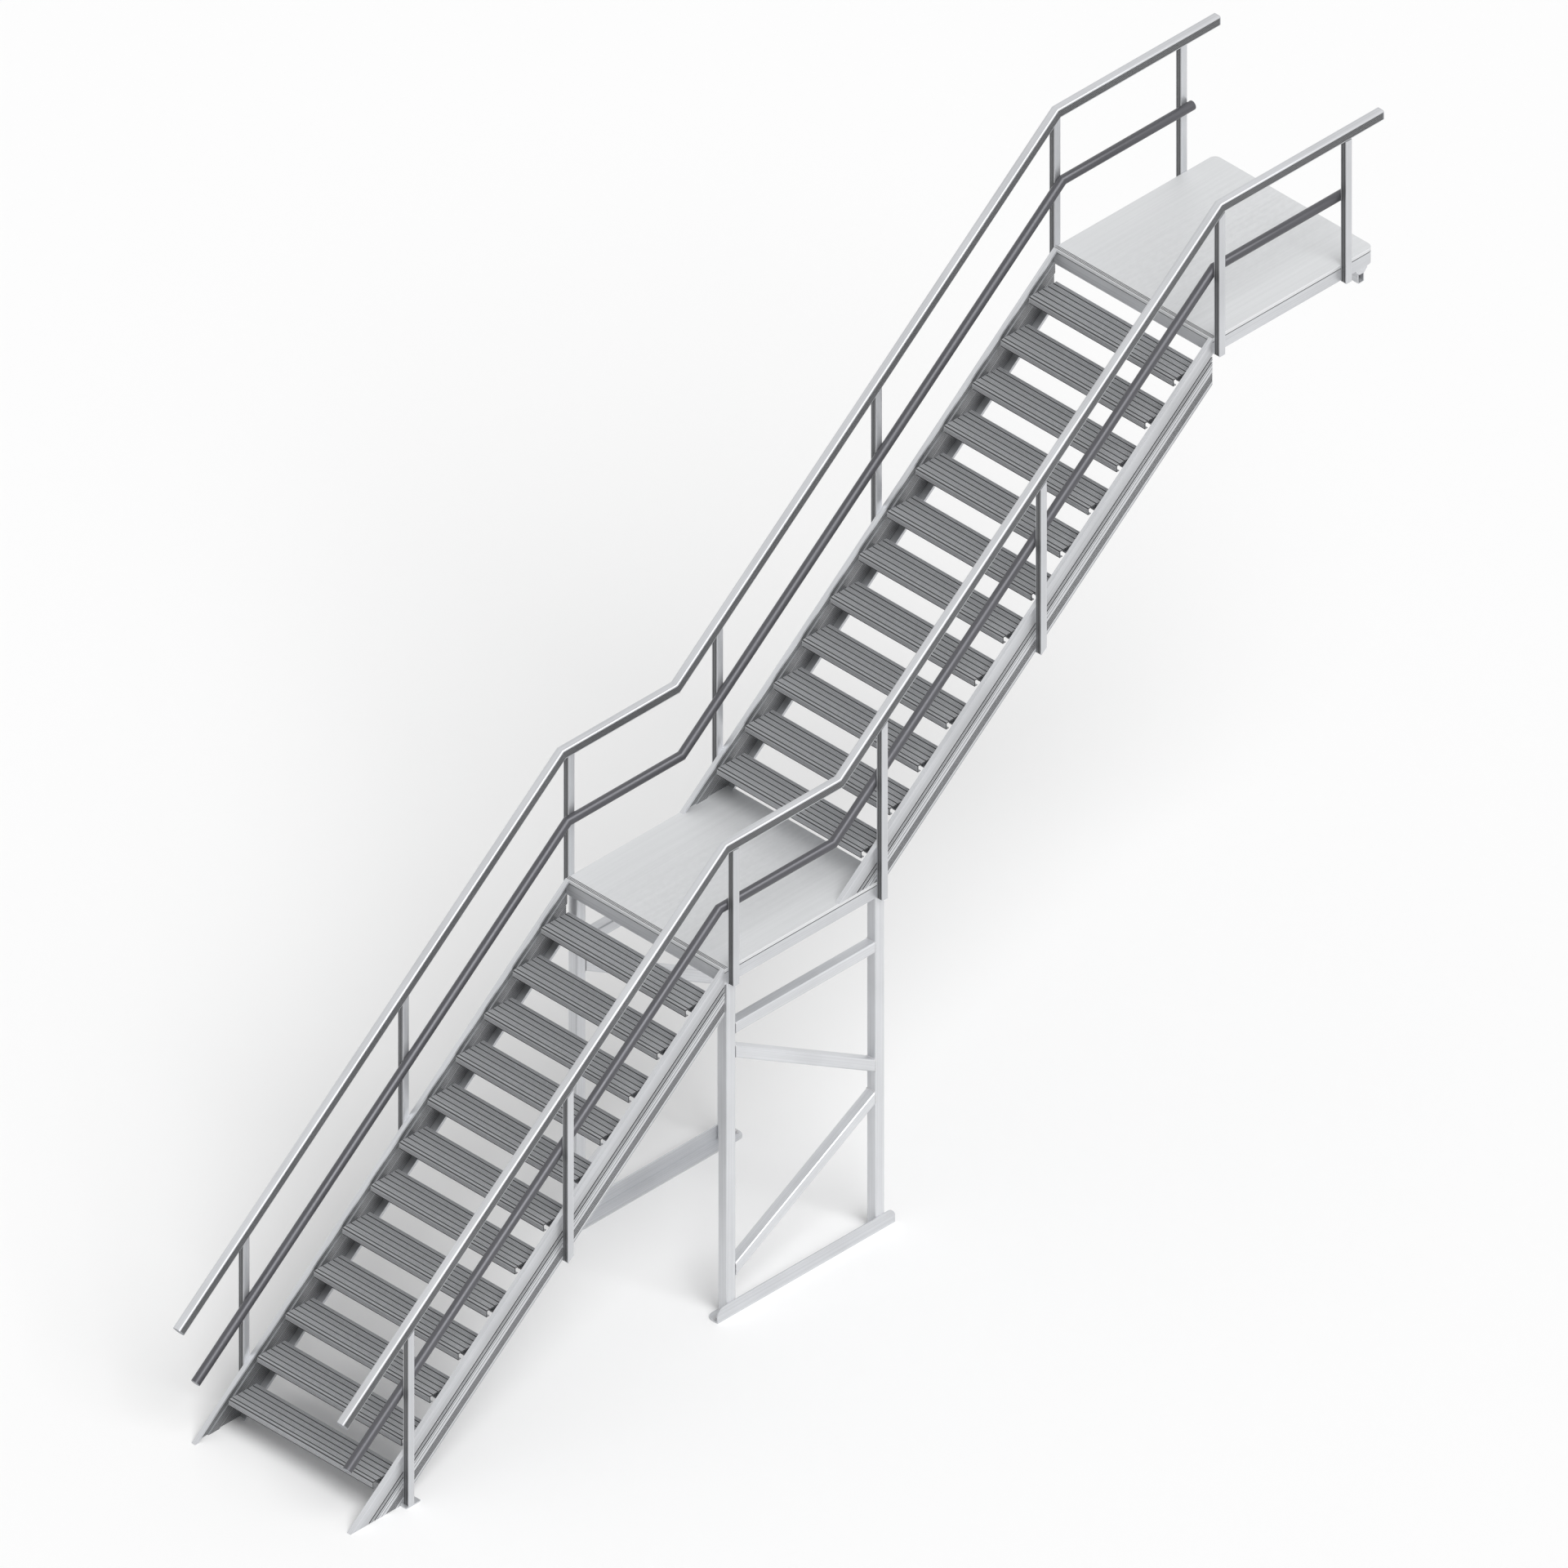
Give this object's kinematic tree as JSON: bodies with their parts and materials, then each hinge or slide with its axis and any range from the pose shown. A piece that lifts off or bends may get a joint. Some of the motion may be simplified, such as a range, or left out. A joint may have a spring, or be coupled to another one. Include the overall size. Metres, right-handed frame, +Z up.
{
  "type": "access stairs",
  "caption": "Straight aluminium access stairs with open risers, an intermediate landing on a braced tower, a top platform and rails on both sides.",
  "frame": {"origin": "middle of the footprint's bounding box, on the ground under the stairs", "axes": "+X up the stairs, +Y to the climber's left, +Z up; the stairs are symmetric about Y = 0"},
  "size_m": [8.514, 1.396, 5.903],
  "materials": {
    "stringer": "satin anodised extrusion",
    "tread": "ribbed mill extrusion",
    "deck": "matt with fine grip",
    "frame": "satin extrusion",
    "tower": "satin anodised tube",
    "base": "mill",
    "handrail": "satin anodised",
    "rail": "satin anodised tube"
  },
  "bodies": {
    "root": {"lower_right_stringer": "stringer", "lower_left_stringer": "stringer", "lower_tread_01": "tread", "lower_tread_02": "tread", "lower_tread_03": "tread", "lower_tread_04": "tread", "lower_tread_05": "tread", "lower_tread_06": "tread", "lower_tread_07": "tread", "lower_tread_08": "tread", "lower_tread_09": "tread", "lower_tread_10": "tread", "lower_tread_11": "tread", "lower_tread_12": "tread", "upper_right_stringer": "stringer", "upper_left_stringer": "stringer", "upper_tread_01": "tread", "upper_tread_02": "tread", "upper_tread_03": "tread", "upper_tread_04": "tread", "upper_tread_05": "tread", "upper_tread_06": "tread", "upper_tread_07": "tread", "upper_tread_08": "tread", "upper_tread_09": "tread", "upper_tread_10": "tread", "upper_tread_11": "tread", "upper_tread_12": "tread", "landing_frame": "frame", "landing_deck": "deck", "platform_frame": "frame", "platform_deck": "deck", "wall_bearer": "frame", "right_tower_posts": "tower", "right_tower_rail": "tower", "right_tower_braces": "tower", "right_base_angle": "base", "right_handrail": "handrail", "right_knee_rail": "rail", "right_rail_posts": "rail", "left_tower_posts": "tower", "left_tower_rail": "tower", "left_tower_braces": "tower", "left_base_angle": "base", "left_handrail": "handrail", "left_knee_rail": "rail", "left_rail_posts": "rail"}
  },
  "joints": []
}
